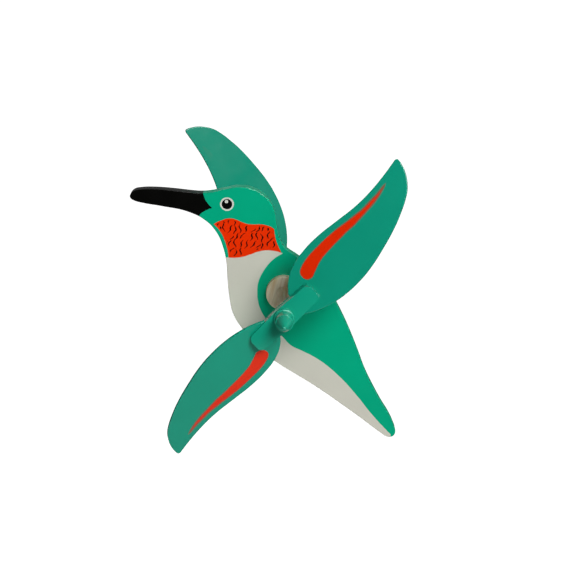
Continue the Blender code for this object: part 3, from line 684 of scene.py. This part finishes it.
# Where the wet red ran into the green, the two mix to a darker line.
mixed = add_node(wing_paint, "Math", [stripe, 0.5], operation="PINGPONG")
# Here the darker mixed line and the blade's painted shade darken the colour together.
depth = add_node(wing_paint, "Math", [mixed, -MIXED_DEPTH, coat], operation="MULTIPLY_ADD")
mixed_and_shaded = add_node(wing_paint, "HueSaturation", {"Value": depth, "Color": colour})
gloss_enamel(wing_paint, place, mixed_and_shaded, FACE_ROUGHNESS, stripe)
wing.data.materials.append(wing_paint)
for side in SIDES:
    for letter, seat in zip("ab", wing_seats):
        label = "%s_%s" % (side, letter)
        copy = copy_to(wing, "wing_blade_" + label, spinning[side] @ MIRROR[side] @ seat)
        # Each copy keeps its own share of painted shade.
        own_shade = copy.data.attributes.new("coat", "FLOAT", "POINT")
        own_shade.data.foreach_set("value", [BLADE_SHADES[label]] * len(copy.data.vertices))
        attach(copy, side + "_propeller")
        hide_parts("wing_" + label)
bpy.data.objects.remove(wing)


# Wing screws: two zinc plated pan heads with a cross recess through each wing root, driven into the hub
# from the back.

HEAD_RADIUS, HEAD_TOP, HEAD_DEPTH, HEAD_ROUND = 3.0, -3.02, 2.0, 1.1
SHANK_RADIUS, POINT_LENGTH = SCREW_RADIUS - 0.03, 2.0
RECESS_LENGTH, RECESS_WIDTH, RECESS_DEPTH = 3.4, 0.9, 1.1
head_foot = HEAD_TOP - HEAD_DEPTH
profile = [(0.0, SCREW_BITE), (SHANK_RADIUS, SCREW_BITE - POINT_LENGTH), (SHANK_RADIUS, HEAD_TOP)]
profile += [(HEAD_RADIUS, HEAD_TOP)]
profile += round_over((HEAD_RADIUS - HEAD_ROUND, head_foot + HEAD_ROUND), HEAD_ROUND, 0, -90)
screw = turn_on_lathe("screw", profile + [(0.0, head_foot)])
for slot_turn in (0.0, pi / 2):
    bpy.ops.object.select_all(action="DESELECT")
    bpy.ops.mesh.primitive_cube_add(size=MM)
    bpy.context.object.matrix_world = (
        Matrix.Translation((0.0, 0.0, head_foot * MM)) @ Matrix.Rotation(slot_turn, 4, "Z")
        @ Matrix.Diagonal((RECESS_LENGTH, RECESS_WIDTH, RECESS_DEPTH * 2, 1.0)))
    cut_away(screw, bpy.context.object)
smooth(screw)
screw.data.materials.append(zinc)
for side in SIDES:
    for letter, seat in zip("ab", wing_seats):
        for number, station in enumerate(SCREW_STATIONS, start=1):
            name = "screw_%s_%s%d" % (side, letter, number)
            hole = seat @ Matrix.Translation((station * MM, SCREW_CHORD * MM, 0.0))
            copy = copy_to(screw, "pan_head_" + name, spinning[side] @ MIRROR[side] @ hole)
            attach(copy, side + "_propeller")
            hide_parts("wing_" + name)
bpy.data.objects.remove(screw)


# Nose caps: a turned cap glued over the axle nut on each hub's face, with a thin brim, a straight collar
# and a dome that runs to a rounded point. It is hollow to clear the nut and painted green.

CAP_BASE, CAP_TIP, CAP_WELL, WELL_RADIUS = 92.62, 122.885, 101.7, 6.6
BRIM_RADIUS, BRIM_TOP, BRIM_ROUND = 10.0, 96.085, 1.8
COLLAR_RADIUS, COLLAR_TOP, COLLAR_ROUND, COLLAR_FLARE = 8.3, 107.885, 0.3, 0.1
DOME_RADIUS, DOME_SWELL, DOME_STEPS, TIP_RADIUS, TIP_SLOPE = 7.7, 0.6, 8, 2.0, 30.0
CAP_GREEN, CAP_ROUGHNESS = "0FA081", 0.24

profile = round_over((0.0, CAP_TIP - TIP_RADIUS), TIP_RADIUS, 90, TIP_SLOPE)
nib_radius, nib_height = profile[-1]
for step in range(1, DOME_STEPS + 1):
    share = step / DOME_STEPS
    swell = DOME_SWELL * 4 * share * (1 - share)
    profile.append((
        nib_radius + (DOME_RADIUS - nib_radius) * share + swell,
        nib_height + (COLLAR_TOP - nib_height) * share))
profile += round_over((COLLAR_RADIUS - COLLAR_ROUND, COLLAR_TOP - COLLAR_ROUND), COLLAR_ROUND, 90, 0)
profile.append((COLLAR_RADIUS + COLLAR_FLARE, BRIM_TOP))
profile += round_over((BRIM_RADIUS - BRIM_ROUND, BRIM_TOP - BRIM_ROUND), BRIM_ROUND, 90, 0)
profile += [(BRIM_RADIUS, CAP_BASE), (WELL_RADIUS, CAP_BASE), (WELL_RADIUS, CAP_WELL), (0.0, CAP_WELL)]
cap = turn_on_lathe("cap", profile)
smooth(cap, 30)

cap_paint = new_finish("gloss_green_enamel_on_turned_cap")
here = add_node(cap_paint, "TexCoord", {})
place = add_node(cap_paint, "Mapping", {
    "Vector": here.outputs["Object"], "Location": -AXLE_PLACE / MM, "Scale": [1 / MM] * 3})
gloss_enamel(cap_paint, place, linear(CAP_GREEN), CAP_ROUGHNESS)
cap.data.materials.append(cap_paint)
for side in SIDES:
    copy = copy_to(cap, "pointed_cap_" + side, spinning[side])
    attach(copy, side + "_propeller")
    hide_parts("nose_cap_" + side)
bpy.data.objects.remove(cap)


# Studio: a bright white floor and backdrop, one large soft lamp high on the right of the camera, and the
# soft light that the floor throws up, stronger on the left. The front of the room is dark, and a low lamp
# behind lights the back.

FLOOR_WIDTH, FLOOR_HEIGHT = 80.0, -1.2
bpy.ops.object.select_all(action="DESELECT")
bpy.ops.mesh.primitive_plane_add(size=FLOOR_WIDTH, location=(0.0, 0.0, FLOOR_HEIGHT))
floor = bpy.context.object
floor.name = "floor"
pale = new_finish("pale_floor")
lit = add_node(pale, "BsdfPrincipled", {
    "Base Color": linear("F4F4F2"), "Roughness": 0.9, "Emission Color": linear("FFFFFF"),
    "Emission Strength": 1.0})
add_node(pale, "OutputMaterial", {"Surface": lit})
floor.data.materials.append(pale)
floor.visible_diffuse = False
floor.visible_glossy = False
floor.visible_shadow = False

world = bpy.context.scene.world or bpy.data.worlds.new("studio")
bpy.context.scene.world = world
world.use_nodes = True
world.node_tree.nodes.clear()
ray = add_node(world, "LightPath", {})
sky = add_node(world, "TexCoord", {})
heading = add_node(world, "SeparateXYZ", [sky.outputs["Generated"]])
# Each range lies between two directions on one axis, with a light's strength or a blend's share at each.
right = add_node(world, "MapRange", [heading.outputs["X"], 0.4, 0.62, 0.02, 0.28])
left = add_node(world, "MapRange", [heading.outputs["X"], -0.7, -0.9, 0.0, 0.05])
sides = add_node(world, "Math", [right, left], operation="ADD")
sweep = add_node(world, "MapRange", [heading.outputs["Z"], -0.1, 0.25, 0.06, 0.22])
rear = add_node(world, "MapRange", [heading.outputs["Y"], 0.1, 0.5, 0.0, 1.0])
bounce = add_node(world, "MapRange", [heading.outputs["X"], 0.35, -0.5, 0.3, 1.3])
low = add_node(world, "MapRange", [
    heading.outputs["Z"], -0.38, -0.62, 0.0, 1.0], interpolation_type="SMOOTHSTEP")
front = add_node(world, "Mix", [low, sides, bounce])
strength = add_node(world, "Mix", [rear, front, sweep])
room = add_node(world, "Background", {"Color": linear("FFFFFF"), "Strength": strength})
backdrop = add_node(world, "Background", {"Color": linear("FFFFFF"), "Strength": 1.0})
seen = add_node(world, "MixShader", [ray.outputs["Is Camera Ray"], room, backdrop])
add_node(world, "OutputWorld", {"Surface": seen})

KEY_WAY = (0.357, -0.747, 0.561)
# In the gloss a wider, dimmer glow stands for the key lamp, so that no edge burns out.
# name: (direction from the bird, distance, width, watts, whether it lights, whether it shows in the gloss)
LAMPS = {
    "key_lamp": (KEY_WAY, 2.2, 0.9, 39.0, True, False),
    "key_glow": (KEY_WAY, 2.3, 1.75, 80.0, False, True),
    "key_diffuser": (KEY_WAY, 2.4, 2.2, 8.0, True, True),
    "back_lamp": ((0.05, 0.86, -0.5), 2.0, 1.0, 22.0, True, False),
}
BIRD_MIDDLE = Vector((0.0, 0.0, 0.06))
for name, (direction, distance, width, watts, lights, shows) in LAMPS.items():
    lamp = bpy.data.lights.new(name, "AREA")
    lamp.shape = "DISK"
    lamp.size = width
    lamp.energy = watts
    stand = bpy.data.objects.new(name, lamp)
    bpy.context.scene.collection.objects.link(stand)
    towards = Vector(direction).normalized()
    stand.location = BIRD_MIDDLE + towards * distance
    stand.rotation_euler = towards.to_track_quat("Z", "Y").to_euler()
    stand.visible_camera = False
    stand.visible_diffuse = lights
    stand.visible_glossy = shows

bpy.context.scene.view_settings.view_transform = "Standard"

# The camera stands a little above the bird and looks down on it.
CAMERA_PLACE, CAMERA_WAY = (0.008131, -1.237487, 0.434632), (0.00917, 0.95790, -0.28694)
CAMERA_LENS, FILM_WIDTH = 81.22, 36.0
lens = bpy.data.cameras.new("camera")
lens.sensor_width = FILM_WIDTH
lens.lens = CAMERA_LENS
camera = bpy.data.objects.new("camera", lens)
bpy.context.scene.collection.objects.link(camera)
camera.location = CAMERA_PLACE
camera.rotation_euler = Vector(CAMERA_WAY).to_track_quat("-Z", "Y").to_euler()
bpy.context.scene.camera = camera
